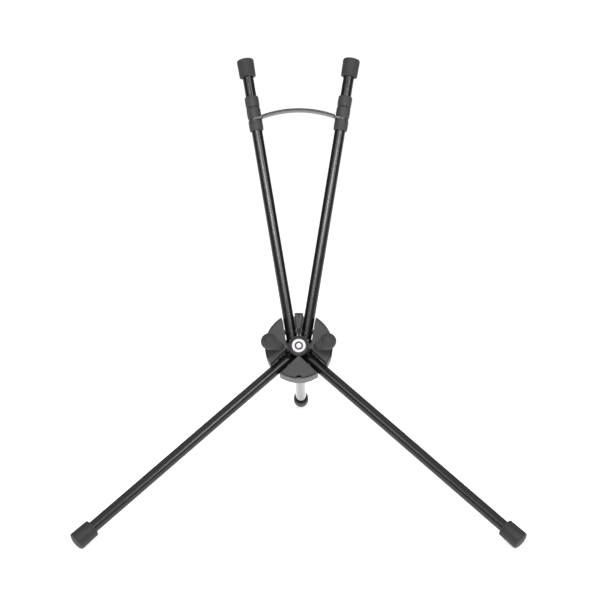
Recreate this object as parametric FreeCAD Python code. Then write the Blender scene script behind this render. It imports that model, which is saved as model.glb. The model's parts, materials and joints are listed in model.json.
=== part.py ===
# Folding floor stand for a wind instrument.
# A round hub carries three floor legs, two upper arms joined by a band, and two rubber pegs.
# Arms and front legs fold back beside the rear leg; a push button in the hub frees them.
import FreeCAD, Part
import math
import os

Vector = FreeCAD.Vector
Rotation = FreeCAD.Rotation
Placement = FreeCAD.Placement

# ---------------------------------------------------------------- driving dimensions (mm, degrees)
TUBE_R = 7.0                # black tubes: 14 mm outside diameter
TUBE_WALL = 1.2
REAR_TUBE_R = 8.0           # chrome rear leg: 16 mm outside diameter
REAR_TUBE_WALL = 1.2

RUN = 0.05                  # radial running clearance of pins and guides
SLIP = 0.05                 # clearance between pieces that are fixed together
PAST = 1.0                  # how far a cutting shape runs past what it cuts

# Hub, in its own frame: X to the right, Y up in its plane, Z along its axis to the front.
HUB_TILT = 28.5             # the hub's axis rises this much towards the front
HUB_R = 43.2
HUB_HALF = 13.7             # half of the hub's thickness
HUB_BACK_CHAMFER = 1.2
FLOOR_T = 3.0               # back wall of the hub
WALL_T = 2.8                # outer wall of the hub
RIM_INNER_R = 41.8
RIM_BELOW_FACE = 0.5
CHANNEL_HALF = 8.4          # open radial channels that the tubes lie in
CHANNEL_NEAR = -30.0        # where a channel starts, before the pivot
ARM_CHANNEL_WALL = 3.6      # thickness of the walls beside the channels
LEG_CHANNEL_WALL = 2.4
CENTRE_POST_WALL = 2.0
CENTRE_BORE_R = 11.2
CENTRE_FLOOR_R = 16.8
CENTRE_FLOOR_TOP = -12.2
ARM_SLOT_FROM = 14.0        # the centre's floor is open above this height

# Front cover
PLATE_T = 3.0
COVER_R = 41.0              # the cover stands inside the rim with a shadow gap
PLATE_CHAMFER = 0.7
SPIKE_CHAMFER = 0.35        # on the narrow plate between the arms
BEZEL_R = 13.2
BEZEL_BORE_R = 11.5
BEZEL_BOTTOM = 10.2
BEZEL_TOP = 14.2
BEZEL_CHAMFER = 0.5
BEZEL_INTO_PLATE = 0.3
BRIDGE_END = 17.5           # bridges tie the bezel to the side plates
BRIDGE_LOW = -3.6
BRIDGE_HIGH = -0.4
BRIDGE_BELOW_FACE = 0.8
NOTCH_HALF = 3.0            # notches at the top and bottom of the cover
NOTCH_DEPTH = 2.6
KEEPER_DEPTH = 6.0          # ribs that hold the pivot pins down
KEEPER_LEAST = 20.0         # smaller scraps of a rib are left out (mm3)

# Pivots: all lie a little behind the hub's middle plane.
PIVOT_DEPTH = -1.3
PIN_R = 2.5
AXLE_HALF = 25.0
LEG_PIN_HALF = 15.0
PIN_END_GAP = 0.5
BUSH_R = 4.0
BUSH_HALF = 7.4

# Upper arms
ARM_PIVOT_Y = 22.0
ARM_PIVOT_X = 10.57
ARM_SPREAD = 9.45           # each arm leans out from the middle
ARM_LEAN = 9.25             # and forward of the hub's plane
ARM_LENGTH = 363.0          # pivot to the end of its cap
ARM_TAIL = 9.3
ARM_FOLD = 99.0
ARM_OVERTURN = 1.5          # room beyond the arm's last position
FOLD_CLEARANCE = 7.6        # half width of the space that a folding arm sweeps
TAIL_SWEEP = 16.0

# Front legs
LEG_PIVOT_R = 25.0
LEG_SPREAD = 45.6           # from straight down, in the hub's plane
LEG_LEAN = 16.8
LEG_LENGTH = 351.5
LEG_TAIL = 12.3

# Plugs in the tubes' inner ends, with the heels that the lock collar holds
PLUG_REACH = 15.0
PLUG_FLANGE_T = 1.2
PLUG_FLANGE_INSET = 0.1
HEEL_FACE_R = 11.0
ARM_HEEL_NEAR_X = 3.6
ARM_HEEL_FAR_X = 11.0
ARM_HEEL_Y = (8.5, 13.6)
ARM_HEEL_Z = (-9.4, -5.0)
LEG_HEEL_HALF = 4.5
LEG_HEEL_OUT = (9.0, 14.6)
LEG_HEEL_Z = (-10.4, -6.2)

# Rubber caps and feet
CAP_MOUTH_R = 10.7
CAP_MOUTH_FILLET = 0.5
CAP_END_R = 11.15
CAP_END_WALL = 4.5
CAP_DOME = 2.0
CAP_FILLET = 2.4
ARM_CAP_LENGTH = 25.0
FOOT_LENGTH = 26.6

# Rings that slide together on each arm, and the band between them
RING_R = 9.15
RING_FILLET = 0.7
RING_LENGTH = 14.1
RING_BORE_R = 7.08
RING_GAP = 0.7
EYE_T = 2.6                 # eye of the band, between the middle and the lower ring
EYE_R = 8.3
RINGS_TOP = 52.0            # from the arm's end down to the top ring
BAND_START_R = 9.45
BAND_WIDTH = 16.0
BAND_RISE = 8.5
BAND_END_GAP = 0.3          # the band rides with the left rings and stops short of the right ones
BAND_TRIM = 30.0            # size of the blocks that trim the band's ends

# Push button, spindle and lock collar
BUTTON_R = 11.2
BUTTON_BOTTOM = 10.4
BUTTON_TOP = 14.8
BUTTON_CHAMFER = 0.6
BUTTON_TRAVEL = 4.5
EMBLEM_R = 9.6
EMBLEM_T = 0.6
EMBLEM_BELOW_FACE = 0.1
NECK_R = 5.0
ROD_R = 3.5
ROD_IN_BUTTON = 2.5
SPINDLE_END = -36.5
SPINDLE_CHAMFER = 0.6
LOCK_R = 10.5
LOCK_TOP_R = 8.7
LOCK_TOP = -6.5
LOCK_BOTTOM = -10.5
CLIP_R = 5.5
CLIP_BORE_R = 2.9
CLIP_OPENING_HALF = 1.2
CLIP_TOP = 0.4              # below the socket's web
CLIP_BOTTOM = 1.1
CLIP_GROOVE_SPARE = 0.1

# Socket of the rear leg
SOCKET_R = 15.3
SOCKET_SLEEVE_R = 12.5
SOCKET_TAPER = (-26.0, -34.0)
SOCKET_END = -62.0
SOCKET_END_CHAMFER = 1.5
FLANGE_T = 3.5
CHAMBER_R = 9.5
CHAMBER_BOTTOM = -28.0
WEB_BOTTOM = -32.0
LOCK_ROOM = 0.6             # spare depth below the pressed collar
EAR_HALF = 6.0
EAR_REACH = 27.0
EAR_ANGLES = (0, 180, 270)
ROLL_PIN_R = 2.0
ROLL_PIN_AT = -50.0
ROLL_PIN_PROUD = 0.4
SPRING_R = 7.4
SPRING_WIRE_R = 0.55
SPRING_TURNS = 5.0
WIRE_SIDES = 10

# Pegs
PEG_X = 24.3
PEG_Y = -1.5
PEG_SPLAY = 22.0
PEG_PIN_R = 3.0
PEG_PIN_SHORT = 2.0         # the pin ends this far before the ball's centre
PEG_BOSS_R = 5.6
PEG_BASE = 2.6              # along the peg, from the cover's face to the foot of its sleeve
PEG_BASE_R = 5.0
PEG_BASE_FILLET = 0.8
PEG_BALL_R = 10.4
PEG_BALL_AT = 33.0
PEG_ROOT = -10.0
PEG_BOSS_ROOF = 5.0

# Screws, driven in from the back
SCREW_R = 1.25
SCREW_ROOM = 0.4
SCREW_HEAD_R = 2.8
SCREW_HEAD_ROOM = 0.3
SCREW_HEAD_T = 1.7
SCREW_HEAD_CHAMFER = 0.5
SCREW_SLOT_HALF = 0.35
SCREW_SLOT_REACH = 1.7
SCREW_SLOT_FLOOR = 0.8
POST_R = 3.3
EAR_POST_TOP = -5.0
EAR_SCREWS = ((EAR_REACH, 0), (-EAR_REACH, 0), (0, -EAR_REACH))
COVER_SCREWS = ((31.0, 13.0), (-31.0, 13.0), (0, -35.0))
COVER_SCREW_END = 6.0       # below the cover's face
COVER_POST_BORE_END = 1.5   # below the cover's plate

SIDES = (("left", -1), ("right", 1))
ORIGIN = Vector(0, 0, 0)
X_AXIS = Vector(1, 0, 0)
Y_AXIS = Vector(0, 1, 0)
Z_AXIS = Vector(0, 0, 1)
parts = {}


# ---------------------------------------------------------------- helpers
def sin(degrees):
    return math.sin(math.radians(degrees))


def cos(degrees):
    return math.cos(math.radians(degrees))


def rod(radius, start, end, base=ORIGIN, axis=Z_AXIS):
    """Cylinder of a radius, from start to end along an axis through base."""
    return Part.makeCylinder(radius, end - start, base + axis * start, axis)


def sleeve(outer, inner, start, end, base=ORIGIN, axis=Z_AXIS):
    bore = rod(inner, start - PAST, end + PAST, base, axis)
    return rod(outer, start, end, base, axis).cut(bore)


def block(x0, x1, y0, y1, z0, z1):
    return Part.makeBox(x1 - x0, y1 - y0, z1 - z0, Vector(x0, y0, z0))


def polygon_face(points):
    return Part.Face(Part.makePolygon(points + points[:1]))


def fuse(shapes):
    return shapes[0].multiFuse(shapes[1:]).removeSplitter()


def largest(shape):
    return max(shape.Solids, key=lambda solid: solid.Volume)


def turned(shape, x_dir, z_dir, origin):
    """Place a shape made along +Z so that its axes lie along the given ones."""
    copy = shape.copy()
    copy.Placement = Placement(origin, Rotation(x_dir, z_dir.cross(x_dir), z_dir, "ZXY"))
    return copy


def spun(points, arcs=None):
    """Turn a closed half profile of (radius, height) points about Z.

    arcs maps the index of a point to a mid point of the arc that leads on to the next one.
    """
    arcs = arcs or {}
    corners = [Vector(r, 0, z) for r, z in points]
    edges = []
    for i, start in enumerate(corners):
        end = corners[(i + 1) % len(corners)]
        if i in arcs:
            middle = Vector(arcs[i][0], 0, arcs[i][1])
            edges.append(Part.Arc(start, middle, end).toShape())
        else:
            edges.append(Part.LineSegment(start, end).toShape())
    face = Part.Face(Part.Wire(edges))
    return face.revolve(ORIGIN, Z_AXIS, 360)


def circles_at(shape, z, radius):
    """The circular edges of a shape at one height and radius."""
    found = []
    for edge in shape.Edges:
        if edge.Degenerated or not isinstance(edge.Curve, Part.Circle):
            continue
        if abs(edge.Curve.Center.z - z) < 0.01 and abs(edge.Curve.Radius - radius) < 0.01:
            found.append(edge)
    return found


# ---------------------------------------------------------------- directions in the hub's own frame
def arm_frame(side):
    """Pivot of an arm, the direction along it and the direction of its pin."""
    pivot = Vector(side * ARM_PIVOT_X, ARM_PIVOT_Y, PIVOT_DEPTH)
    along = Vector(side * sin(ARM_SPREAD), cos(ARM_SPREAD) * cos(ARM_LEAN), cos(ARM_SPREAD) * sin(ARM_LEAN))
    return pivot, along, X_AXIS


def leg_frame(side):
    """Pivot of a front leg, the direction along it and the direction of its pin."""
    outward = Vector(side * sin(LEG_SPREAD), -cos(LEG_SPREAD), 0)
    pin = Vector(cos(LEG_SPREAD), side * sin(LEG_SPREAD), 0)
    pivot = outward * LEG_PIVOT_R + Z_AXIS * PIVOT_DEPTH
    along = outward * cos(LEG_LEAN) + Z_AXIS * sin(LEG_LEAN)
    return pivot, along, pin


def peg_frame(side):
    """Foot of a peg on the cover's face, and the way the peg points."""
    return Vector(side * PEG_X, PEG_Y, HUB_HALF), Vector(side * sin(PEG_SPLAY), 0, cos(PEG_SPLAY))


def channel(side, frame, half_width, z0, z1, nearest=CHANNEL_NEAR):
    """Straight slot under a tube, seen along the hub's axis."""
    pivot, along, _ = frame(side)
    outward = Vector(along.x, along.y, 0).normalize()
    slot = block(-half_width, half_width, nearest, HUB_R + 10 * PAST, z0, z1)
    return turned(slot, outward.cross(Z_AXIS), Z_AXIS, Vector(pivot.x, pivot.y, 0))


def wedges(radius, z0, z1, arm_half=CHANNEL_HALF, leg_half=CHANNEL_HALF):
    """The hub's disc less its four channels."""
    disc = rod(radius, z0, z1)
    for _, side in SIDES:
        disc = disc.cut(channel(side, arm_frame, arm_half, z0 - PAST, z1 + PAST))
        disc = disc.cut(channel(side, leg_frame, leg_half, z0 - PAST, z1 + PAST))
    return disc


def arm_sweep(side):
    """The space that a folding arm and its tail pass through, turned about the cross axle."""
    half = FOLD_CLEARANCE / cos(ARM_SPREAD)
    shift = math.tan(math.radians(ARM_SPREAD))
    swept = []
    for length, sign, first in ((HUB_R, 1, ARM_LEAN), (TAIL_SWEEP, -1, ARM_LEAN + 180)):
        middle = ARM_PIVOT_X + sign * length * shift
        outline = [(ARM_PIVOT_X - half, 0), (ARM_PIVOT_X + half, 0), (middle + half, length),
                   (middle - half, length)]
        fan = polygon_face([Vector(side * x, y, 0) for x, y in outline])
        fan.rotate(ORIGIN, X_AXIS, first)
        swept.append(fan.revolve(ORIGIN, X_AXIS, -ARM_FOLD - ARM_OVERTURN))
    # Folded, the tube lies half below the last plane behind the axle, and its tail half above it in front.
    depth = HUB_HALF + PIVOT_DEPTH + PAST
    outline = [(0, 0), (half, 0), (half + depth * shift, -depth), (0, -depth)]
    seat = polygon_face([Vector(side * (ARM_PIVOT_X + x), 0, z) for x, z in outline])
    swept.append(seat.extrude(Y_AXIS * -FOLD_CLEARANCE))
    tip = ARM_TAIL + PLUG_FLANGE_T + RING_GAP
    outline = [(-half, 0), (half, 0), (half - tip * shift, tip), (-half - tip * shift, tip)]
    seat = polygon_face([Vector(side * (ARM_PIVOT_X + x), 0, z) for x, z in outline])
    swept.append(seat.extrude(Y_AXIS * FOLD_CLEARANCE))
    for solid in swept:
        solid.translate(Vector(0, ARM_PIVOT_Y, PIVOT_DEPTH))
    return swept


# ---------------------------------------------------------------- fixed hub
def pin_lines():
    """Middle, direction and half length of each pivot pin."""
    lines = [(Vector(0, ARM_PIVOT_Y, PIVOT_DEPTH), X_AXIS, AXLE_HALF)]
    for _, side in SIDES:
        pivot, _, pin = leg_frame(side)
        lines.append((pivot, pin, LEG_PIN_HALF))
    return lines


def pin_slot(middle, pin, half, radius):
    """Open-topped seat that a pin drops into from the front."""
    seat = rod(radius, -half, half, middle, pin)
    above = block(-half, half, -radius, radius, 0, HUB_HALF - PLATE_T - PIVOT_DEPTH)
    return seat.fuse(turned(above, pin, Z_AXIS, middle))


def hub_rear_shell():
    back = -HUB_HALF
    floor_top = back + FLOOR_T
    top = HUB_HALF - PLATE_T
    columns = wedges(HUB_R, back, top)
    hollow = wedges(HUB_R - WALL_T, floor_top, top + PAST,
                    CHANNEL_HALF + ARM_CHANNEL_WALL, CHANNEL_HALF + LEG_CHANNEL_WALL)
    hollow = hollow.cut(rod(BEZEL_R + CENTRE_POST_WALL, floor_top - PAST, top + 2 * PAST))
    centre = rod(CENTRE_FLOOR_R, back, CENTRE_FLOOR_TOP)
    for _, side in SIDES:
        slot_from = ARM_SLOT_FROM - ARM_PIVOT_Y
        centre = centre.cut(channel(side, arm_frame, CHANNEL_HALF, back - PAST, 0, slot_from))
    shell = columns.cut(hollow).fuse(centre)
    rim = sleeve(HUB_R, RIM_INNER_R, top - 0.5 * PAST, HUB_HALF - RIM_BELOW_FACE)
    shell = shell.fuse(rim.common(wedges(HUB_R + PAST, top - PAST, HUB_HALF)))
    shell = shell.cut(rod(CENTRE_BORE_R, back - PAST, top + PAST))
    shell = shell.cut(rod(BEZEL_R + SLIP, BEZEL_BOTTOM - SLIP, top + PAST))
    for _, side in SIDES:
        for swept in arm_sweep(side):
            shell = shell.cut(swept)
        base, axis = peg_frame(side)
        shell = shell.cut(rod(PEG_BOSS_R + SLIP, PEG_ROOT - PAST, PEG_BOSS_ROOF, base, axis))
    for x, y in EAR_SCREWS:
        shell = shell.fuse(rod(POST_R, floor_top - 0.5 * PAST, EAR_POST_TOP, Vector(x, y, 0)))
    for x, y in EAR_SCREWS:
        shell = shell.cut(rod(SCREW_R + SLIP, back - PAST, EAR_POST_TOP - PAST, Vector(x, y, 0)))
    for x, y in COVER_SCREWS:
        at = Vector(x, y, 0)
        shell = shell.cut(rod(SCREW_R + SCREW_ROOM, back - PAST, floor_top + PAST, at))
        shell = shell.cut(rod(SCREW_HEAD_R + SCREW_HEAD_ROOM, back - PAST, back + SCREW_HEAD_T, at))
    for middle, pin, half in pin_lines():
        shell = shell.cut(pin_slot(middle, pin, half + PIN_END_GAP, PIN_R + SLIP))
    back_edges = circles_at(shell, back, HUB_R)
    return largest(shell.makeChamfer(HUB_BACK_CHAMFER, back_edges).removeSplitter())


def plate_edges(plate):
    """Top edges of a cover plate, apart from those beside the button."""
    chosen = []
    for edge in plate.Edges:
        box = edge.BoundBox
        level = abs(box.ZMin - HUB_HALF) < 0.01 and abs(box.ZMax - HUB_HALF) < 0.01
        round_the_button = isinstance(edge.Curve, Part.Circle) and edge.Curve.Radius < BEZEL_R
        if level and not round_the_button:
            chosen.append(edge)
    return chosen


def cover_plates(bottom):
    """The cover's wedge plates, with chamfered top edges."""
    middle = rod(BEZEL_R - BEZEL_INTO_PLATE, bottom - PAST, HUB_HALF + PAST)
    finished = []
    for plate in wedges(COVER_R, bottom, HUB_HALF).cut(middle).Solids:
        narrow = plate.BoundBox.XLength < 2 * BEZEL_R
        finished.append(plate.makeChamfer(SPIKE_CHAMFER if narrow else PLATE_CHAMFER, plate_edges(plate)))
    return finished


def pin_keepers(bottom):
    """Ribs under the cover that hold the pivot pins down in their seats."""
    walls = wedges(HUB_R - WALL_T - SLIP, bottom - KEEPER_DEPTH, bottom + 0.5 * PAST)
    keepers = []
    for middle, pin, half in pin_lines():
        width = PIN_R - 2 * SLIP
        rib = block(-half, half, -width, width, 2 * PIN_R - PIN_END_GAP, bottom - PIVOT_DEPTH + 0.5 * PAST)
        rib = turned(rib, pin, Z_AXIS, middle).common(walls)
        keepers += [solid for solid in rib.Solids if solid.Volume > KEEPER_LEAST]
    return keepers


def hub_front_cover():
    bottom = HUB_HALF - PLATE_T
    bezel = sleeve(BEZEL_R, BEZEL_BORE_R, BEZEL_BOTTOM, BEZEL_TOP)
    bezel = bezel.makeChamfer(BEZEL_CHAMFER, circles_at(bezel, BEZEL_TOP, BEZEL_R))
    pieces = [bezel] + cover_plates(bottom)
    for _, side in SIDES:
        ends = sorted((side * (BEZEL_BORE_R + EMBLEM_T), side * BRIDGE_END))
        pieces.append(block(ends[0], ends[1], BRIDGE_LOW, BRIDGE_HIGH, bottom, HUB_HALF - BRIDGE_BELOW_FACE))
        base, axis = peg_frame(side)
        pieces.append(rod(PEG_BOSS_R, PEG_ROOT - 0.5 * PAST, PEG_BASE, base, axis))
    for x, y in COVER_SCREWS:
        pieces.append(rod(POST_R, -HUB_HALF + FLOOR_T + SLIP, bottom + 0.5 * PAST, Vector(x, y, 0)))
    cover = fuse(pieces)
    for _, side in SIDES:
        base, axis = peg_frame(side)
        cover = cover.cut(rod(PEG_PIN_R + SLIP, PEG_ROOT, PEG_BASE + PAST, base, axis))
    for x, y in COVER_SCREWS:
        cover = cover.cut(rod(SCREW_R + SLIP, -HUB_HALF, bottom - COVER_POST_BORE_END, Vector(x, y, 0)))
    for y in (COVER_R - NOTCH_DEPTH, -COVER_R - PAST):
        notch = block(-NOTCH_HALF, NOTCH_HALF, y, y + NOTCH_DEPTH + PAST, bottom - PAST, HUB_HALF + PAST)
        cover = cover.cut(notch)
    for keeper in pin_keepers(bottom):
        cover = cover.fuse(keeper)
    for _, side in SIDES:
        for swept in arm_sweep(side):
            cover = cover.cut(swept)
    return largest(cover.removeSplitter())


def screw(x, y, face, tip):
    """Screw driven in from the back, with a cross slot in its flat head."""
    head_top = face - SCREW_HEAD_T
    head = rod(SCREW_HEAD_R, head_top, face, Vector(x, y, 0))
    head = head.makeChamfer(SCREW_HEAD_CHAMFER, circles_at(head, head_top, SCREW_HEAD_R))
    for half_x, half_y in ((SCREW_SLOT_REACH, SCREW_SLOT_HALF), (SCREW_SLOT_HALF, SCREW_SLOT_REACH)):
        slot = block(x - half_x, x + half_x, y - half_y, y + half_y, head_top - PAST, face - SCREW_SLOT_FLOOR)
        head = head.cut(slot)
    return head.fuse(rod(SCREW_R, face, tip, Vector(x, y, 0))).removeSplitter()


def make_hub():
    parts["hub_rear_shell"] = hub_rear_shell()
    parts["hub_front_cover"] = hub_front_cover()
    face = -HUB_HALF + SCREW_HEAD_T
    screws = [screw(x, y, face, HUB_HALF - COVER_SCREW_END) for x, y in COVER_SCREWS]
    parts["cover_screws"] = Part.makeCompound(screws)
    face = -HUB_HALF - FLANGE_T
    screws = [screw(x, y, face, EAR_POST_TOP - COVER_POST_BORE_END) for x, y in EAR_SCREWS]
    parts["socket_screws"] = Part.makeCompound(screws)
    names = ("arm_axle", "leg_pin_left", "leg_pin_right")
    for name, (middle, pin, half) in zip(names, pin_lines()):
        parts[name] = rod(PIN_R, -half, half, middle, pin)


# ---------------------------------------------------------------- rear leg on the hub's axis
def rear_leg_socket():
    flange_bottom = -HUB_HALF - FLANGE_T
    pieces = [rod(SOCKET_R, flange_bottom, -HUB_HALF)]
    for angle in EAR_ANGLES:
        ear = block(0, EAR_REACH, -EAR_HALF, EAR_HALF, flange_bottom, -HUB_HALF)
        ear = ear.fuse(rod(EAR_HALF, flange_bottom, -HUB_HALF, Vector(EAR_REACH, 0, 0)))
        ear.rotate(ORIGIN, Z_AXIS, angle)
        pieces.append(ear)
    body_top = flange_bottom + 0.5 * PAST
    chamfer = SOCKET_END_CHAMFER
    outline = [(0, body_top), (SOCKET_R, body_top), (SOCKET_R, SOCKET_TAPER[0]),
               (SOCKET_SLEEVE_R, SOCKET_TAPER[1]), (SOCKET_SLEEVE_R, SOCKET_END + chamfer),
               (SOCKET_SLEEVE_R - chamfer, SOCKET_END), (0, SOCKET_END)]
    pieces.append(spun(outline))
    socket = fuse(pieces)
    top = -HUB_HALF + PAST
    cuts = [rod(CENTRE_BORE_R, LOCK_BOTTOM - BUTTON_TRAVEL - LOCK_ROOM, top),
            rod(CHAMBER_R, CHAMBER_BOTTOM, top),
            rod(ROD_R + RUN, WEB_BOTTOM - PAST, CHAMBER_BOTTOM + PAST),
            rod(REAR_TUBE_R + SLIP, SOCKET_END - PAST, WEB_BOTTOM),
            roll_pin_rod(SLIP, SOCKET_R + PAST)]
    cuts += [rod(SCREW_R + SCREW_ROOM, flange_bottom - PAST, 0, Vector(x, y, 0)) for x, y in EAR_SCREWS]
    for tool in cuts:
        socket = socket.cut(tool)
    return socket.removeSplitter()


def roll_pin_rod(spare, half):
    """Rod across the rear leg where its roll pin sits, thicker than the pin by a spare radius."""
    return rod(ROLL_PIN_R + spare, -half, half, Vector(0, 0, ROLL_PIN_AT), X_AXIS)


def cap(length, tube_r):
    """Rubber cap along +Z: its mouth is at 0 and its domed end at the given length."""
    bore = tube_r + SLIP
    dome_r = (CAP_END_R ** 2 + CAP_DOME ** 2) / (2 * CAP_DOME)
    half_way = length - dome_r + math.sqrt(dome_r ** 2 - CAP_END_R ** 2 / 4)
    outline = [(bore, 0), (CAP_MOUTH_R, 0), (CAP_END_R, length - CAP_DOME), (0, length),
               (0, length - CAP_END_WALL), (bore, length - CAP_END_WALL)]
    body = spun(outline, {2: (CAP_END_R / 2, half_way)})
    body = body.makeFillet(CAP_FILLET, circles_at(body, length - CAP_DOME, CAP_END_R))
    return body.makeFillet(CAP_MOUTH_FILLET, circles_at(body, 0, CAP_MOUTH_R))


def return_spring():
    """Open coil between the socket's web and the lock collar, of many-sided wire."""
    low = CHAMBER_BOTTOM + SPRING_WIRE_R + SLIP
    rise = LOCK_BOTTOM - SPRING_WIRE_R - SLIP - low
    helix = Part.makeHelix(rise / SPRING_TURNS, rise, SPRING_R)
    angles = [360.0 * i / WIRE_SIDES for i in range(WIRE_SIDES + 1)]
    section = [Vector(SPRING_R + SPRING_WIRE_R * cos(a), 0, SPRING_WIRE_R * sin(a)) for a in angles]
    spring = Part.Wire(helix.Edges).makePipeShell([Part.makePolygon(section)], True, True)
    spring.translate(Vector(0, 0, low))
    return spring


def rear_foot_at(end):
    """The rear leg's rubber foot, with its domed end at a height on the hub's axis."""
    return turned(cap(FOOT_LENGTH, REAR_TUBE_R), X_AXIS, -Z_AXIS, Vector(0, 0, end + FOOT_LENGTH))


def make_rear_leg(length):
    parts["rear_leg_socket"] = rear_leg_socket()
    inside = REAR_TUBE_R - REAR_TUBE_WALL
    tube = sleeve(REAR_TUBE_R, inside, -length + CAP_END_WALL + SLIP, WEB_BOTTOM - SLIP)
    parts["rear_leg_tube"] = tube.cut(roll_pin_rod(SLIP, SOCKET_R))
    parts["rear_leg_roll_pin"] = roll_pin_rod(0, SOCKET_SLEEVE_R + ROLL_PIN_PROUD)
    parts["rear_foot"] = rear_foot_at(-length)
    parts["return_spring"] = return_spring()


# ---------------------------------------------------------------- push button and lock
def make_button():
    button = rod(BUTTON_R, BUTTON_BOTTOM, BUTTON_TOP)
    button = button.makeChamfer(BUTTON_CHAMFER, circles_at(button, BUTTON_TOP, BUTTON_R))
    button = button.cut(rod(EMBLEM_R + SLIP, BUTTON_TOP - EMBLEM_T, BUTTON_TOP + PAST))
    rod_top = BUTTON_BOTTOM + ROD_IN_BUTTON
    parts["push_button"] = button.cut(rod(ROD_R + SLIP, BUTTON_BOTTOM - PAST, rod_top + 2 * SLIP))
    parts["button_disc"] = rod(EMBLEM_R, BUTTON_TOP - EMBLEM_T, BUTTON_TOP - EMBLEM_BELOW_FACE)
    spindle = fuse([rod(ROD_R, BUTTON_BOTTOM - 0.5 * PAST, rod_top),
                    rod(NECK_R, LOCK_TOP, BUTTON_BOTTOM),
                    rod(ROD_R, SPINDLE_END, LOCK_TOP + 0.5 * PAST)])
    clip_low = WEB_BOTTOM - CLIP_BOTTOM
    clip_high = WEB_BOTTOM - CLIP_TOP
    groove = sleeve(ROD_R + PAST, CLIP_BORE_R, clip_low - CLIP_GROOVE_SPARE, clip_high + CLIP_GROOVE_SPARE)
    spindle = spindle.cut(groove)
    parts["lock_spindle"] = spindle.makeChamfer(SPINDLE_CHAMFER, circles_at(spindle, SPINDLE_END, ROD_R))
    bore = ROD_R + SLIP
    cone = [(bore, LOCK_BOTTOM), (LOCK_R, LOCK_BOTTOM), (LOCK_TOP_R, LOCK_TOP), (bore, LOCK_TOP)]
    parts["lock_collar"] = spun(cone)
    clip = sleeve(CLIP_R, CLIP_BORE_R + SLIP, clip_low, clip_high)
    mouth = block(-CLIP_OPENING_HALF, CLIP_OPENING_HALF, 0, CLIP_R + PAST, clip_low - PAST, clip_high + PAST)
    parts["spindle_clip"] = clip.cut(mouth)


# ---------------------------------------------------------------- tubes that fold
def arm_heel(side):
    """Block below the arm's end that the lock collar holds from inside."""
    ends = sorted((side * ARM_HEEL_NEAR_X, side * ARM_HEEL_FAR_X))
    return block(*ends, *ARM_HEEL_Y, *ARM_HEEL_Z)


def leg_heel(side):
    """Block below the leg's end that the lock collar holds from inside."""
    _, along, _ = leg_frame(side)
    outward = Vector(along.x, along.y, 0).normalize()
    heel = block(-LEG_HEEL_HALF, LEG_HEEL_HALF, *LEG_HEEL_OUT, *LEG_HEEL_Z)
    return turned(heel, outward.cross(Z_AXIS), Z_AXIS, ORIGIN)


def make_tube(label, frame, heel, length, tail, cap_name, cap_length):
    """Tube, inner plug with its lock heel, pivot bush and end cap of one arm or leg."""
    pivot, along, pin = frame
    inside = TUBE_R - TUBE_WALL
    tube = sleeve(TUBE_R, inside, -tail, length - CAP_END_WALL - SLIP, pivot, along)
    plug = rod(inside - SLIP, -tail - 0.5 * PAST, PLUG_REACH, pivot, along)
    flange = rod(TUBE_R - PLUG_FLANGE_INSET, -tail - PLUG_FLANGE_T, -tail - SLIP, pivot, along)
    heel = heel.cut(rod(HEEL_FACE_R, -HUB_HALF, HUB_HALF))
    heel = heel.cut(rod(TUBE_R + SLIP, -tail - SLIP, PLUG_REACH, pivot, along))
    plug = plug.fuse(flange).fuse(heel)
    bush_hole = rod(BUSH_R + SLIP, -TUBE_R - PAST, TUBE_R + PAST, pivot, pin)
    parts[label + "_tube"] = tube.cut(bush_hole)
    parts[label + "_plug"] = plug.cut(bush_hole).removeSplitter()
    parts[label + "_bush"] = sleeve(BUSH_R, PIN_R + RUN, -BUSH_HALF, BUSH_HALF, pivot, pin)
    parts[cap_name] = turned(cap(cap_length, TUBE_R), pin, along, pivot + along * (length - cap_length))


def make_tubes():
    for name, side in SIDES:
        make_tube("arm_" + name, arm_frame(side), arm_heel(side), ARM_LENGTH, ARM_TAIL,
                  "arm_cap_" + name, ARM_CAP_LENGTH)
        make_tube("leg_" + name, leg_frame(side), leg_heel(side), LEG_LENGTH, LEG_TAIL,
                  "foot_" + name, FOOT_LENGTH)


# ---------------------------------------------------------------- sliding rings and the band
def arm_axes(side):
    """Pivot, direction along the arm and direction across it in the plane of both arms."""
    pivot, along, _ = arm_frame(side)
    forward = X_AXIS.cross(along).normalize()
    return pivot, along, along.cross(forward)


def ring():
    body = sleeve(RING_R, RING_BORE_R, 0, RING_LENGTH)
    edges = circles_at(body, 0, RING_R) + circles_at(body, RING_LENGTH, RING_R)
    return body.makeFillet(RING_FILLET, edges)


def band_eye(side):
    """Ring of the band's end, with the root that the band grows from."""
    eye = rod(EYE_R, 0, EYE_T)
    ends = sorted((0, -side * BAND_START_R))
    eye = eye.fuse(block(*ends, -BAND_WIDTH / 2, BAND_WIDTH / 2, 0, EYE_T))
    eye = eye.common(block(-BAND_START_R, BAND_START_R, -EYE_R, EYE_R, -PAST, EYE_T + PAST))
    return eye.cut(rod(RING_BORE_R, -PAST, EYE_T + PAST)).removeSplitter()


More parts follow.
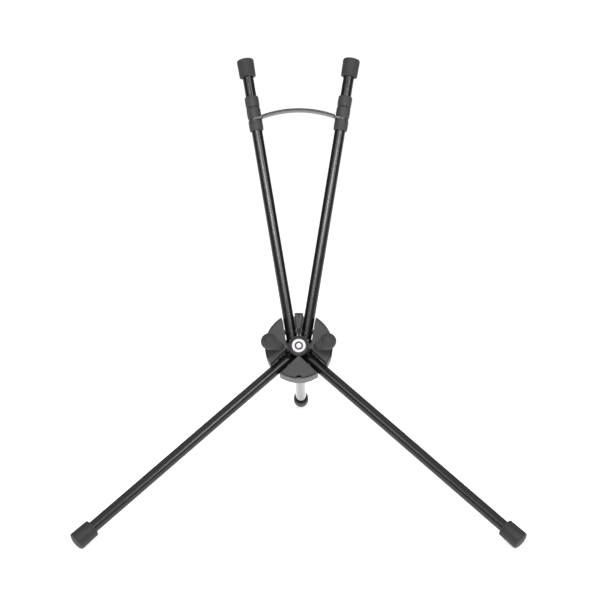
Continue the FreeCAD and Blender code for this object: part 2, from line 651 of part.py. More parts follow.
def band(eye_middle):
    """Flat band between the arms, bowed towards their ends."""
    lean = Vector(0, cos(ARM_LEAN), sin(ARM_LEAN))
    start_x = ARM_PIVOT_X + eye_middle * sin(ARM_SPREAD) - BAND_START_R * cos(ARM_SPREAD)
    start_y = eye_middle * cos(ARM_SPREAD) + BAND_START_R * sin(ARM_SPREAD)
    tilt = math.atan(2 * BAND_RISE / start_x)
    half = EYE_T / 2
    arcs = []
    for face in (-half, half):
        x = start_x + face * math.sin(tilt)
        y = start_y + face * math.cos(tilt)
        top = Vector(0, start_y + BAND_RISE + face, 0)
        arcs.append(Part.Arc(Vector(-x, y, 0), top, Vector(x, y, 0)).toShape())
    ends = [Part.LineSegment(arcs[0].Vertexes[i].Point, arcs[1].Vertexes[i].Point).toShape() for i in (0, 1)]
    outline = Part.Wire(Part.__sortEdges__([arcs[0], ends[0], arcs[1], ends[1]]))
    solid = Part.Face(outline).extrude(Z_AXIS * BAND_WIDTH)
    solid.translate(Vector(0, 0, -BAND_WIDTH / 2))
    solid = turned(solid, X_AXIS, X_AXIS.cross(lean), Vector(0, ARM_PIVOT_Y, PIVOT_DEPTH))
    for (_, side), gap in zip(SIDES, (SLIP, BAND_END_GAP)):
        pivot, along, across = arm_axes(side)
        ends = sorted((-side * (BAND_START_R + gap), side * BAND_TRIM))
        beyond = block(*ends, -BAND_WIDTH, BAND_WIDTH, eye_middle - BAND_TRIM, eye_middle + BAND_TRIM)
        solid = solid.cut(turned(beyond, across, along, pivot))
    return largest(solid)


def make_rings():
    top = ARM_LENGTH - RINGS_TOP
    middle = top - RING_LENGTH - RING_GAP
    lower = middle - RING_LENGTH - EYE_T
    starts = {"upper": top - RING_LENGTH, "middle": middle - RING_LENGTH, "lower": lower - RING_LENGTH}
    for name, side in SIDES:
        pivot, along, across = arm_axes(side)
        for place, start in starts.items():
            parts["ring_" + place + "_" + name] = turned(ring(), across, along, pivot + along * start)
        parts["band_eye_" + name] = turned(band_eye(side), across, along, pivot + along * lower)
    parts["band"] = band(lower + EYE_T / 2)


# ---------------------------------------------------------------- pegs
def peg_sleeve():
    """Rubber sleeve along +Z: a cone that runs into a ball."""
    reach = PEG_BALL_AT - PEG_BASE
    distance = math.hypot(reach, PEG_BASE_R)
    turn = math.atan2(PEG_BASE_R, -reach) - math.acos(PEG_BALL_R / distance)
    touch = (PEG_BALL_R * math.sin(turn), PEG_BALL_AT + PEG_BALL_R * math.cos(turn))
    bore = PEG_PIN_R + SLIP
    bore_end = PEG_BALL_AT - PEG_PIN_SHORT
    outline = [(bore, PEG_BASE), (PEG_BASE_R, PEG_BASE), touch, (0, PEG_BALL_AT + PEG_BALL_R), (0, bore_end),
               (bore, bore_end)]
    middle = (PEG_BALL_R * math.sin(turn / 2), PEG_BALL_AT + PEG_BALL_R * math.cos(turn / 2))
    body = spun(outline, {2: middle})
    return body.makeFillet(PEG_BASE_FILLET, circles_at(body, PEG_BASE, PEG_BASE_R))


def make_pegs():
    for name, side in SIDES:
        base, axis = peg_frame(side)
        parts["peg_pin_" + name] = rod(PEG_PIN_R, PEG_ROOT, PEG_BALL_AT - PEG_PIN_SHORT - SLIP, base, axis)
        parts["peg_" + name] = turned(peg_sleeve(), Y_AXIS.cross(axis), axis, base)


# ---------------------------------------------------------------- standing the hub up
def upright(shape):
    """Tilt a shape from the hub's own frame to the way the hub stands."""
    copy = shape.copy()
    copy.rotate(ORIGIN, X_AXIS, 90 - HUB_TILT)
    return copy


def upright_box(shape):
    return upright(shape).optimalBoundingBox(False)


make_hub()
make_button()
make_tubes()
make_rings()
make_pegs()

# The hub's height puts the front feet on the floor, and the rear leg's length does so for its foot.
front_foot = upright_box(parts["foot_left"])
hub_height = -front_foot.ZMin
rear_leg_length = (hub_height + upright_box(rear_foot_at(0)).ZMin) / sin(HUB_TILT)
make_rear_leg(rear_leg_length)
hub_y = -(front_foot.YMin + upright_box(parts["rear_foot"]).YMax) / 2

os.makedirs("parts", exist_ok=True)
for name, shape in sorted(parts.items()):
    placed = upright(shape)
    placed.translate(Vector(0, hub_y, hub_height))
    if not placed.isValid():
        print("not valid:", name)
    placed.exportStep("parts/" + name + ".step")
print(len(parts), "pieces; hub at y", round(hub_y, 3), "z", round(hub_height, 3))
print("rear leg length", round(rear_leg_length, 3))
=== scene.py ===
"""Looks of a folding floor stand for a wind instrument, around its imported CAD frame. Metres."""
import json
import math

import bpy
import numpy as np
from mathutils import Matrix, Vector


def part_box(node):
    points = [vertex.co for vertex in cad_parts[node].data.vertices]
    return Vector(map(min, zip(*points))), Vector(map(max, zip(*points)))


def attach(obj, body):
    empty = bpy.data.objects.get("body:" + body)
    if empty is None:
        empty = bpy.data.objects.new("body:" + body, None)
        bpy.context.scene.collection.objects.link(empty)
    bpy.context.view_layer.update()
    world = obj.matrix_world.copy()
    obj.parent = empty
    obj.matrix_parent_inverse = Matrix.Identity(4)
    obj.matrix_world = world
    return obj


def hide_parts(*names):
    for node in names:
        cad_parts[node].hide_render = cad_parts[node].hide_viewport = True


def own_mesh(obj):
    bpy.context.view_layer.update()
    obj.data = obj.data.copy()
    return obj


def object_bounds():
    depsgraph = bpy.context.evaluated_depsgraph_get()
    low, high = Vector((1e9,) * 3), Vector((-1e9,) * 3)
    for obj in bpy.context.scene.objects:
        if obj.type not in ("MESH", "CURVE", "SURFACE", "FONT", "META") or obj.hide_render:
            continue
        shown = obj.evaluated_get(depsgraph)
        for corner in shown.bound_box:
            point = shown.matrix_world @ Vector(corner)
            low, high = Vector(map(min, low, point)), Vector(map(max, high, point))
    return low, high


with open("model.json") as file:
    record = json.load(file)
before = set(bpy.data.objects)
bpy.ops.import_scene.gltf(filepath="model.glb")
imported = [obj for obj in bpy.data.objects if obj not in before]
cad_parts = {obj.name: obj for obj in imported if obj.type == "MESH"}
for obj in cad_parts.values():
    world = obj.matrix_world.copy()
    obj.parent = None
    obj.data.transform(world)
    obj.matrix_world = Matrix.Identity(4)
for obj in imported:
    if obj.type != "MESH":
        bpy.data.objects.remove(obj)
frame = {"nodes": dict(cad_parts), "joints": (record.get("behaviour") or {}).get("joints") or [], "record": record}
cad_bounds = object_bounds()

MM = 0.001
SIDES = (("left", -1), ("right", 1))
TURN = 96                   # faces round a turned piece
CORNER_STEPS = 5            # faces round a rounded corner
ARC_STEPS = 64              # lengths along the band
SHARP = math.radians(30)    # edges that turn by more than this stay sharp
BEZEL_R = 13.4 * MM         # the cover is black within this radius of the hub's axis
HUB_HALF = 13.7 * MM        # half of the hub's thickness


# ---------------------------------------------------------------- reading the frame
def mesh_points(node):
    return np.array([v.co for v in frame["nodes"][node].data.vertices], float)


def centre_of_skin(node):
    """Middle of a node's surface, which lies on the axis of a turned piece."""
    mesh = frame["nodes"][node].data
    weights = np.array([p.area for p in mesh.polygons])
    middles = np.array([p.center for p in mesh.polygons])
    return Vector(weights @ middles / weights.sum())


def joint(name):
    return next(j for j in frame["joints"] if j["name"] == name)


class Turned:
    """Axis, ends and largest radius of a turned CAD node that points along a direction."""

    def __init__(self, node, direction):
        self.along = Vector(direction).normalized()
        middle = centre_of_skin(node)
        offset = mesh_points(node) - np.array(middle)
        heights = offset @ np.array(self.along)
        across = offset - np.outer(heights, np.array(self.along))
        self.start = middle + self.along * float(heights.min())
        self.length = float(heights.max() - heights.min())
        distances = np.linalg.norm(across, axis=1)
        self.radius = float(distances.max())
        self.bore = float(distances.min())
        self.heights = heights - heights.min()
        self.distances = distances

    def widest(self, first, last):
        """Largest radius between two heights, given as shares of the length."""
        chosen = (self.heights >= first * self.length) & (self.heights <= last * self.length)
        return float(self.distances[chosen].max())


hub_axis = -Vector(joint("button_press")["axis"])
on_hub_axis = centre_of_skin("button_disc")
hub_up = Vector((1, 0, 0)).cross(-hub_axis).normalized()
hub_up = hub_up if hub_up.z > 0 else -hub_up
arm_along = {side: -Vector(joint("ring_slide_" + side)["axis"]) for side, _ in SIDES}
leg_along = {}
peg_along = {}
for side, _ in SIDES:
    leg_along[side] = (centre_of_skin("foot_" + side) - centre_of_skin("leg_" + side + "_tube")).normalized()
    peg_along[side] = (centre_of_skin("peg_" + side) - centre_of_skin("peg_pin_" + side)).normalized()


# ---------------------------------------------------------------- mesh helpers
def new_piece(name, vertices, faces, material, smooth=True):
    mesh = bpy.data.meshes.new(name)
    mesh.from_pydata([tuple(v) for v in vertices], [], faces)
    mesh.validate()
    mesh.update()
    if smooth:
        mesh.shade_smooth()
    piece = bpy.data.objects.new(name, mesh)
    bpy.context.scene.collection.objects.link(piece)
    piece.data.materials.append(material)
    return piece


def rounded(corners):
    """Points of an outline whose corners (x, y, radius) are rounded by arcs."""
    points = []
    for i, (x, y, radius) in enumerate(corners):
        here = Vector((x, y))
        if radius == 0 or i in (0, len(corners) - 1):
            points.append(here)
            continue
        before = (Vector(corners[i - 1][:2]) - here).normalized()
        after = (Vector(corners[i + 1][:2]) - here).normalized()
        half = before.angle(after) / 2
        middle = here + (before + after).normalized() * (radius / math.sin(half))
        first = here + before * (radius / math.tan(half)) - middle
        last = here + after * (radius / math.tan(half)) - middle
        sweep = first.angle_signed(last)
        for step in range(CORNER_STEPS + 1):
            angle = -sweep * step / CORNER_STEPS
            points.append(middle + Matrix.Rotation(angle, 2) @ first)
    return points


def lathe(name, outline, start, along, material):
    """Closed turned piece: outline holds (radius, height) points from the axis or round a bore."""
    side = along.orthogonal().normalized()
    front = along.cross(side)
    vertices = []
    faces = []
    rings = []
    for radius, height in outline:
        base = start + along * height
        if radius < 1e-6:
            rings.append([len(vertices)])
            vertices.append(base)
            continue
        ring = []
        for k in range(TURN):
            angle = 2 * math.pi * k / TURN
            ring.append(len(vertices))
            vertices.append(base + (side * math.cos(angle) + front * math.sin(angle)) * radius)
        rings.append(ring)
    closed = len(rings[0]) > 1 and len(rings[-1]) > 1
    pairs = list(zip(rings, rings[1:])) + ([(rings[-1], rings[0])] if closed else [])
    for low, high in pairs:
        for k in range(TURN):
            nxt = (k + 1) % TURN
            if len(low) == 1:
                faces.append((low[0], high[nxt], high[k]))
            elif len(high) == 1:
                faces.append((low[k], low[nxt], high[0]))
            else:
                faces.append((low[k], low[nxt], high[nxt], high[k]))
    return new_piece(name, vertices, faces, material)


# ---------------------------------------------------------------- materials
class Paint:
    """A material with a principled shader, and short ways to add noise, colour and bump to it."""

    def __init__(self, name, **settings):
        self.material = bpy.data.materials.new(name)
        self.material.use_nodes = True
        self.tree = self.material.node_tree
        self.shader = self.tree.nodes["Principled BSDF"]
        for socket, value in settings.items():
            self.shader.inputs[socket.replace("_", " ")].default_value = value
        self.place = self.node("ShaderNodeTexCoord").outputs["Object"]

    def node(self, kind, **values):
        made = self.tree.nodes.new(kind)
        for key, value in values.items():
            setattr(made, key, value)
        return made

    def link(self, source, target):
        self.tree.links.new(source, target)

    def noise(self, grain, detail=2.0, stretch=None):
        """Noise whose features are about grain metres across."""
        source = self.place
        if stretch:
            mapping = self.node("ShaderNodeMapping")
            mapping.inputs["Scale"].default_value = stretch
            self.link(source, mapping.inputs["Vector"])
            source = mapping.outputs["Vector"]
        made = self.node("ShaderNodeTexNoise")
        made.inputs["Scale"].default_value = 1 / grain
        made.inputs["Detail"].default_value = detail
        self.link(source, made.inputs["Vector"])
        return made.outputs["Fac"]

    def remap(self, value, low, high, to_low, to_high):
        made = self.node("ShaderNodeMapRange")
        self.link(value, made.inputs["Value"])
        limits = {"From Min": low, "From Max": high, "To Min": to_low, "To Max": to_high}
        for socket, number in limits.items():
            made.inputs[socket].default_value = number
        return made.outputs["Result"]

    def blend(self, factor, first, second):
        """Colour between two, each a colour or the output of another node."""
        made = self.node("ShaderNodeMix", data_type="RGBA")
        self.link(factor, made.inputs["Factor"])
        for socket, colour in ((made.inputs["A"], first), (made.inputs["B"], second)):
            if isinstance(colour, tuple):
                socket.default_value = (*colour, 1.0)
            else:
                self.link(colour, socket)
        return made.outputs["Result"]

    def from_hub_axis(self):
        """Distance from the hub's axis."""
        offset = self.node("ShaderNodeVectorMath", operation="SUBTRACT")
        offset.inputs[1].default_value = on_hub_axis
        self.link(self.place, offset.inputs[0])
        across = self.node("ShaderNodeVectorMath", operation="CROSS_PRODUCT")
        across.inputs[1].default_value = hub_axis
        self.link(offset.outputs["Vector"], across.inputs[0])
        distance = self.node("ShaderNodeVectorMath", operation="LENGTH")
        self.link(across.outputs["Vector"], distance.inputs[0])
        return distance.outputs["Value"]

    def colour(self, source):
        self.link(source, self.shader.inputs["Base Color"])

    def roughness(self, source):
        self.link(source, self.shader.inputs["Roughness"])

    def bump(self, height, depth, under=None):
        made = self.node("ShaderNodeBump")
        made.inputs["Distance"].default_value = depth
        self.link(height, made.inputs["Height"])
        if under:
            self.link(under, made.inputs["Normal"])
        self.link(made.outputs["Normal"], self.shader.inputs["Normal"])
        return made.outputs["Normal"]


def shade(level, tint=(1.0, 0.95, 1.0)):
    return tuple(level * t for t in tint)


def powder_coat():
    paint = Paint("powder_coat", IOR=1.5)
    clouds = paint.noise(14 * MM, 3)
    paint.colour(paint.blend(clouds, shade(0.006), shade(0.010)))
    paint.roughness(paint.remap(paint.noise(2.2 * MM), 0.3, 0.7, 0.2, 0.25))
    peel = paint.noise(0.9 * MM, 1)
    paint.bump(peel, 0.006 * MM)
    return paint.material


def moulded_rubber(name, level, grain, gloss):
    paint = Paint(name, IOR=1.5, Sheen_Weight=0.08, Sheen_Roughness=0.5)
    clouds = paint.noise(9 * MM, 4)
    bloom = paint.remap(paint.noise(0.9 * MM, 3), 0.45, 0.8, 0.0, 1.0)
    body = paint.blend(clouds, shade(level * 0.8), shade(level * 1.15))
    paint.colour(paint.blend(bloom, body, shade(level * 1.5)))
    paint.roughness(paint.remap(clouds, 0.3, 0.7, gloss, gloss + 0.12))
    coarse = paint.bump(paint.noise(grain, 3), 0.03 * MM)
    paint.bump(paint.noise(grain * 5, 2), 0.05 * MM, coarse)
    return paint.material


def grained_plastic(name, level, gloss, middle=None):
    """Moulded plastic, black within the given radius of the hub's axis."""
    paint = Paint(name, IOR=1.5)
    clouds = paint.noise(7 * MM, 3)
    specks = paint.noise(0.8 * MM, 2)
    body = paint.blend(clouds, shade(level * 0.86), shade(level * 1.1))
    body = paint.blend(paint.remap(specks, 0.35, 0.75, 0, 1), body, shade(level * 1.4))
    if middle:
        outside = paint.remap(paint.from_hub_axis(), middle, middle + 0.2 * MM, 0, 1)
        body = paint.blend(outside, shade(0.006), body)
    paint.colour(body)
    paint.roughness(paint.remap(specks, 0.3, 0.7, gloss, gloss + 0.15))
    paint.bump(paint.noise(0.5 * MM, 3), 0.05 * MM)
    return paint.material


def bright_metal(name, level, tint, low, high, grain=1.5 * MM):
    paint = Paint(name, Metallic=1.0)
    clouds = paint.noise(grain, 3)
    paint.colour(paint.blend(clouds, shade(level * 0.93, tint), shade(level, tint)))
    paint.roughness(paint.remap(clouds, 0.3, 0.7, low, high))
    paint.bump(paint.noise(grain * 0.6, 2), 0.004 * MM)
    return paint.material


def smooth_plastic(name, level, low, high):
    paint = Paint(name, IOR=1.5)
    clouds = paint.noise(3 * MM, 3)
    paint.colour(paint.blend(clouds, shade(level * 0.9), shade(level * 1.1)))
    paint.roughness(paint.remap(clouds, 0.3, 0.7, low, high))
    paint.bump(paint.noise(0.6 * MM, 2), 0.006 * MM)
    return paint.material


tube_black = powder_coat()
cap_rubber = moulded_rubber("cap_rubber", 0.021, 0.5 * MM, 0.62)
foot_rubber = moulded_rubber("foot_rubber", 0.011, 0.5 * MM, 0.55)
ring_rubber = moulded_rubber("ring_rubber", 0.031, 0.5 * MM, 0.55)
peg_rubber = moulded_rubber("peg_rubber", 0.022, 0.45 * MM, 0.6)
cover_plastic = grained_plastic("cover_plastic", 0.026, 0.5, BEZEL_R)
shell_plastic = grained_plastic("shell_plastic", 0.014, 0.32)
inner_plastic = smooth_plastic("inner_plastic", 0.01, 0.4, 0.5)
button_black = smooth_plastic("button_black", 0.005, 0.1, 0.16)
print_white = smooth_plastic("print_white", 0.62, 0.3, 0.4)
band_rubber = smooth_plastic("band_rubber", 0.03, 0.22, 0.32)
chrome = bright_metal("chrome", 0.2, (1.0, 0.99, 0.98), 0.04, 0.09)
zinc = bright_metal("zinc", 0.55, (1.0, 1.0, 0.97), 0.28, 0.4)

SLOT_PAINT = {
    "rubber_caps": cap_rubber, "peg_rubber": peg_rubber, "ring_rubber": ring_rubber,
    "band_rubber": band_rubber, "black_tube": tube_black, "chrome_tube": chrome, "steel": zinc,
    "hub_plastic": cover_plastic, "shell_plastic": shell_plastic, "inner_plastic": inner_plastic,
    "button_black": button_black, "button_white": print_white,
}
for row in frame["record"]["subparts"]:
    node = frame["nodes"][row["node"]]
    node.data.materials.clear()
    node.data.materials.append(SLOT_PAINT[row["material_slot"]])


# ---------------------------------------------------------------- caps and feet
def rubber_cap(name, node, direction, body, bore, material):
    """Cap with a lip at its mouth, a slight flare and a domed end."""
    cad = Turned(node, direction)
    length = cad.length
    mouth = cad.radius - 0.45 * MM
    wall = 4.5 * MM
    outline = rounded([
        (0, length - wall, 0),
        (bore, length - wall, 0),
        (bore, 0, 0.4 * MM),
        (mouth, 0, 0.6 * MM),
        (mouth + 0.05 * MM, 2.4 * MM, 0.25 * MM),
        (mouth - 0.3 * MM, 2.9 * MM, 0.25 * MM),
        (mouth + 0.1 * MM, 3.4 * MM, 0.25 * MM),
        (cad.radius, length - 2.2 * MM, 2.6 * MM),
        (cad.radius * 0.62, length - 0.7 * MM, 3 * MM),
        (cad.radius * 0.3, length - 0.02 * MM, 3 * MM),
        (0, length, 0),
    ])
    piece = lathe(name, outline, cad.start, cad.along, material)
    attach(piece, body)
    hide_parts(node)


tube_radius = Turned("arm_left_tube", arm_along["left"]).radius
rear_radius = Turned("rear_leg_tube", hub_axis).radius
for side, _ in SIDES:
    rubber_cap("arm_end_cap_" + side, "arm_cap_" + side, arm_along[side], "arm_" + side, tube_radius,
               cap_rubber)
    rubber_cap("leg_foot_" + side, "foot_" + side, leg_along[side], "leg_" + side, tube_radius,
               foot_rubber)
rubber_cap("rear_leg_foot", "rear_foot", -hub_axis, "hub", rear_radius, foot_rubber)


# ---------------------------------------------------------------- tubes, rings and pegs
def take_place_of(piece, body, node):
    """Piece rides on a body and is shown instead of a CAD node."""
    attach(piece, body)
    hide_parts(node)


def smooth_tube(name, node, direction, body, material):
    """Drawn tube with its inner edges broken."""
    cad = Turned(node, direction)
    edge = 0.25 * MM
    outline = [
        (cad.bore, edge), (cad.bore + edge, 0), (cad.radius - edge, 0), (cad.radius, edge),
        (cad.radius, cad.length - edge), (cad.radius - edge, cad.length), (cad.bore + edge, cad.length),
        (cad.bore, cad.length - edge),
    ]
    piece = lathe(name, outline, cad.start, cad.along, material)
    mark_creases(piece)
    take_place_of(piece, body, node)


def mark_creases(piece):
    """Sharp edges where a turned piece's faces meet at an angle, so that its long walls shade evenly."""
    piece.data.set_sharp_from_angle(angle=SHARP)


def slide_ring(name, node, direction, body):
    """Rubber ring with rounded rims and a slightly full wall."""
    cad = Turned(node, direction)
    rim = cad.radius - 0.25 * MM
    outline = rounded([
        (cad.bore, 0.4 * MM, 0), (cad.bore + 0.4 * MM, 0, 0.3 * MM), (rim, 0, 1.1 * MM),
        (cad.radius, cad.length * 0.3, 6 * MM), (cad.radius, cad.length * 0.7, 6 * MM),
        (rim, cad.length, 1.1 * MM), (cad.bore + 0.4 * MM, cad.length, 0.3 * MM),
        (cad.bore, cad.length - 0.4 * MM, 0),
    ])
    piece = lathe(name, outline, cad.start, cad.along, ring_rubber)
    take_place_of(piece, body, node)


def rubber_peg(name, node, direction):
    """Cone with a lip at its foot that runs into a ball."""
    cad = Turned(node, direction)
    foot = cad.widest(0, 0.1)
    ball = cad.widest(0.72, 1)
    ball_at = cad.length - ball
    lip = 1.6 * MM
    outline = rounded([
        (0, 0, 0), (foot, 0, 0.7 * MM), (foot, lip, 0.3 * MM), (foot - 0.35 * MM, lip + 0.4 * MM, 0.3 * MM),
        (foot - 0.3 * MM, lip + 1.2 * MM, 0),
    ])
    reach = math.hypot(ball_at, foot)
    turn = math.atan2(foot, -ball_at) - math.acos(ball / reach)
    for step in range(TURN // 4 + 1):
        angle = turn * (1 - step / (TURN // 4))
        outline.append((ball * math.sin(angle), ball_at + ball * math.cos(angle)))
    piece = lathe(name, outline, cad.start, cad.along, peg_rubber)
    take_place_of(piece, "hub", node)


for side, _ in SIDES:
    for part, direction in (("arm", arm_along[side]), ("leg", leg_along[side])):
        name = part + "_" + side
        smooth_tube(name + "_drawn_tube", name + "_tube", direction, name, tube_black)
    for place in ("upper", "middle", "lower"):
        slide_ring("slide_ring_%s_%s" % (place, side), "ring_%s_%s" % (place, side), arm_along[side],
                   "rings_" + side)
    rubber_peg("soft_peg_" + side, "peg_" + side, peg_along[side])
smooth_tube("rear_leg_drawn_tube", "rear_leg_tube", hub_axis, "hub", chrome)


# ---------------------------------------------------------------- return spring
def coiled_spring():
    """The button's spring, a copy of the CAD node's mesh that rides on the hub."""
    node = frame["nodes"]["return_spring"]
    vertices = [vertex.co.copy() for vertex in node.data.vertices]
    faces = [tuple(polygon.vertices) for polygon in node.data.polygons]
    piece = new_piece("coiled_spring", vertices, faces, zinc)
    take_place_of(piece, "hub", "return_spring")
    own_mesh(piece)


coiled_spring()


# ---------------------------------------------------------------- linings of the hub's channels
HUB_RIM = 42.2 * MM
LINING = (7.5 * MM, 8.3 * MM)           # near and far face of a lining, from the middle of its channel
LINING_DEPTH = (-12.1 * MM, 5 * MM)     # from the pivot, towards the back and the front
LINING_REACH = (-8 * MM, 24 * MM)       # from the pivot, along the tube
LINING_STEPS = 32                       # lengths of a lining along the tube
FLOOR_DEPTH = (-13.5 * MM, -12.3 * MM)  # back and front face of a floor, from the hub's middle
FLOOR_ASIDE = (11.9 * MM, 18 * MM)      # its inner and outer edge, from the hub's axis
FLOOR_UP = (-2 * MM, 13.6 * MM)         # its lower and upper edge


def channel_lining(name, pivot, outward, across, slant):
    """Thin walls on both sides of a tube. With a slant they follow the cone that the tube folds along."""
    vertices = []
    faces = []
    for sign in (-1, 1):
        rows = []
        for reach in np.linspace(*LINING_REACH, LINING_STEPS + 1):
            row = []
            for face, depth in ((0, 0), (1, 0), (1, 1), (0, 1)):
                deep = LINING_DEPTH[depth]
                shift = slant * math.hypot(reach, deep) * (1 if reach > 0 else 0)
                aside = sign * LINING[face] * math.hypot(1, slant)
                row.append(pivot + outward * reach + hub_axis * deep + across * (shift + aside))
            offsets = [point - on_hub_axis for point in row]
            if max((offset - hub_axis * offset.dot(hub_axis)).length for offset in offsets) < HUB_RIM:
                rows.append(row)
        first = len(vertices)
        vertices += [point for row in rows for point in row]
        last = first + 4 * (len(rows) - 1)
        faces += [tuple(range(first, first + 4)), tuple(range(last + 3, last - 1, -1))]
        for base in range(first, last, 4):
            for k in range(4):
                nxt = (k + 1) % 4
                faces.append((base + k, base + 4 + k, base + 4 + nxt, base + nxt))
    piece = new_piece(name, vertices, faces, shell_plastic, smooth=False)
    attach(piece, "hub")


def channel_floor(name, sign):
    """Floor of an arm's channel beside the button, at the level of the hub's own floor."""
    inner, outer = FLOOR_ASIDE
    low, high = FLOOR_UP
    corners = []
    for depth in FLOOR_DEPTH:
        for aside, height in ((inner, low), (outer, low), (outer, high), (inner, high)):
            beside = Vector((sign * aside, 0, 0))
            corners.append(hub_centre + hub_axis * depth + beside + hub_up * height)
    faces = [(3, 2, 1, 0), (4, 5, 6, 7)]
    for k in range(4):
        nxt = (k + 1) % 4
        faces.append((k, nxt, nxt + 4, k + 4))
    piece = new_piece(name, corners, faces, shell_plastic, smooth=False)
    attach(piece, "hub")


shell_points = mesh_points("hub_rear_shell") @ np.array(hub_axis)
hub_centre = on_hub_axis + hub_axis * (float(shell_points.min()) + HUB_HALF - hub_axis.dot(on_hub_axis))
for side, sign in SIDES:
    channel_floor("channel_floor_" + side, sign)
    spread = abs(arm_along[side].x)
    channel_lining("channel_lining_arm_" + side, centre_of_skin("arm_%s_bush" % side), hub_up,
                   Vector((sign, 0, 0)), spread / math.sqrt(1 - spread ** 2))
    outward = (leg_along[side] - hub_axis * leg_along[side].dot(hub_axis)).normalized()
    channel_lining("channel_lining_leg_" + side, centre_of_skin("leg_%s_bush" % side), outward,
                   outward.cross(hub_axis).normalized(), 0.0)


# ---------------------------------------------------------------- button emblem
def button_emblem():
    """Disc with a raised dot and a raised ring round it."""
    cad = Turned("button_disc", hub_axis)
    dot, inner, outer = 3.3 * MM, 5.4 * MM, 8.6 * MM
    groove = cad.length - 0.3 * MM
    outline = rounded([
        (0, 0, 0), (cad.radius, 0, 0), (cad.radius, groove, 0), (outer, groove, 0),
        (outer, cad.length, 0.12 * MM), (inner, cad.length, 0.12 * MM), (inner, groove, 0),
        (dot, groove, 0), (dot, cad.length, 0.12 * MM), (0, cad.length, 0),
    ])
    piece = lathe("button_emblem", outline, cad.start, cad.along, print_white)
    piece.data.materials.append(button_black)
    mark_creases(piece)
    for face in piece.data.polygons:
        height = (face.center - cad.start).dot(cad.along)
        if height < groove + 0.05 * MM:
            face.material_index = 1
    take_place_of(piece, "button", "button_disc")


button_emblem()


# ---------------------------------------------------------------- band between the arms
def arched_band():
    """Flat rubber band on an arc, its long edges rounded."""
    lean = (arm_along["left"] + arm_along["right"]).normalized()
    across = Vector((1, 0, 0)).cross(lean)
    points = mesh_points("band")
    heights = points @ np.array(lean)
    depths = points @ np.array(across)
    thickness = Turned("band_eye_left", arm_along["left"]).length
    first, last = points[:, 0].min(), points[:, 0].max()
    end_height = heights[points[:, 0] > last - 0.6 * MM].mean()
    top = heights.max() - thickness / 2
    rise = top - end_height
    radius = (last ** 2 + rise ** 2) / (2 * rise)
    half_width = (depths.max() - depths.min()) / 2
    middle = (depths.max() + depths.min()) / 2
    half = thickness / 2
    section = []
    for sign_depth, sign_height in ((1, 1), (-1, 1), (-1, -1), (1, -1)):
        start = math.atan2(sign_height, sign_depth) - math.pi / 4
        bend = 0.9 * half
        for step in range(CORNER_STEPS + 1):
            angle = start + math.pi / 2 * step / CORNER_STEPS
            section.append((sign_depth * (half_width - bend) + bend * math.cos(angle),
                            sign_height * (half - bend) + bend * math.sin(angle)))
    trim = 0.15 * MM
    vertices = []
    for x in np.linspace(first + trim, last - trim, ARC_STEPS + 1):
        lift = math.sqrt(radius ** 2 - x ** 2)
        outward = (Vector((x, 0, 0)) + lean * lift) / radius
        base = Vector((x, 0, 0)) + lean * (top - radius + lift)
        for depth, height in section:
            vertices.append(base + across * (middle + depth) + outward * height)
    count = len(section)
    faces = [tuple(range(count)), tuple(reversed(range(ARC_STEPS * count, (ARC_STEPS + 1) * count)))]
    for row in range(ARC_STEPS):
        for k in range(count):
            a, b = row * count + k, row * count + (k + 1) % count
            faces.append((a, a + count, b + count, b))
    piece = new_piece("arched_band", vertices, faces, band_rubber)
    take_place_of(piece, "rings_left", "band")
    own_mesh(piece)


arched_band()


# ---------------------------------------------------------------- camera, light and floor
LIGHT_DISTANCE = 2.2


def aim(thing, at):
    thing.rotation_mode = "QUATERNION"
    thing.rotation_quaternion = (Vector(at) - thing.location).to_track_quat("-Z", "Y")


def add_camera(at, distance, down, round_by, roll, lens):
    """Camera that looks at a point, with its angles in degrees and its lens in millimetres."""
    data = bpy.data.cameras.new("camera")
    data.lens = lens
    data.clip_end = 200
    camera = bpy.data.objects.new("camera", data)
    bpy.context.scene.collection.objects.link(camera)
    down, round_by = math.radians(down), math.radians(round_by)
    view = Vector((math.sin(round_by) * math.cos(down), math.cos(round_by) * math.cos(down), -math.sin(down)))
    camera.location = at - view * distance
    camera.rotation_mode = "QUATERNION"
    turn = Matrix.Rotation(math.radians(roll), 3, "Z").to_quaternion()
    camera.rotation_quaternion = view.to_track_quat("-Z", "Y") @ turn
    bpy.context.scene.camera = camera


def softbox(name, direction, at, width, height, radiance):
    """Area light that faces a point from a direction (right, towards the camera, up)."""
    data = bpy.data.lights.new(name, "AREA")
    data.shape = "RECTANGLE"
    data.size = width
    data.size_y = height
    data.energy = radiance * math.pi * width * height
    light = bpy.data.objects.new(name, data)
    bpy.context.scene.collection.objects.link(light)
    right, front, up = direction
    light.location = at + Vector((right, -front, up)).normalized() * LIGHT_DISTANCE
    aim(light, at)


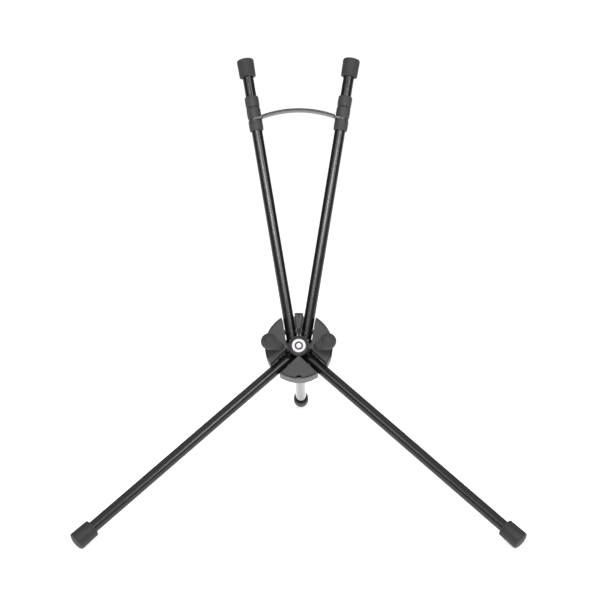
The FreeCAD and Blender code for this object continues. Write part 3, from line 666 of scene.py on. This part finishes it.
hub_middle = (Vector(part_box("hub_rear_shell")[0]) + Vector(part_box("hub_rear_shell")[1])) / 2
hub_middle.x = 0
add_camera(hub_middle + Vector((1.7 * MM, 0, 63 * MM)), distance=1.664, down=13.651, round_by=-0.476,
           roll=-0.282, lens=78.87)

at = hub_middle + Vector((0, 0, 0.1))
softbox("light_top_front", (0.0, 0.843, 0.537), at, width=1.5, height=0.3, radiance=20)
softbox("light_right", (0.68, 0.73, 0.66), at, width=0.42, height=1.0, radiance=9)
softbox("light_left", (-0.68, 0.73, 0.66), at, width=0.42, height=1.0, radiance=4.5)

sun = bpy.data.lights.new("overhead", "SUN")
sun.energy = 1.1
sun.angle = math.radians(100)
overhead = bpy.data.objects.new("overhead", sun)
overhead.location = (0, 0, 3)
bpy.context.scene.collection.objects.link(overhead)

world = bpy.data.worlds.new("studio")
world.use_nodes = True
bpy.context.scene.world = world
tree = world.node_tree
dim = tree.nodes["Background"]
dim.inputs["Color"].default_value = (0.12, 0.12, 0.125, 1)
bright = tree.nodes.new("ShaderNodeBackground")
bright.inputs["Color"].default_value = (1, 1, 1, 1)
mixer = tree.nodes.new("ShaderNodeMixShader")
rays = tree.nodes.new("ShaderNodeLightPath")
tree.links.new(rays.outputs["Is Camera Ray"], mixer.inputs["Fac"])
tree.links.new(dim.outputs["Background"], mixer.inputs[1])
tree.links.new(bright.outputs["Background"], mixer.inputs[2])
tree.links.new(mixer.outputs["Shader"], tree.nodes["World Output"].inputs["Surface"])


def add_floor(radius):
    floor_paint = Paint("floor", Roughness=0.9, Emission_Color=(1, 1, 1, 1), Emission_Strength=0.66)
    floor_paint.colour(floor_paint.blend(floor_paint.noise(0.4, 2), (0.8, 0.8, 0.8), (0.82, 0.82, 0.82)))
    z = cad_bounds[0][2] - 0.2 * MM
    angles = np.linspace(0, 2 * math.pi, TURN + 1)[:-1]
    rim = [Vector((radius * math.cos(a), radius * math.sin(a), z)) for a in angles]
    floor = new_piece("floor", rim, [tuple(range(len(rim)))], floor_paint.material)


add_floor(60)
bpy.context.scene.view_settings.view_transform = "Standard"
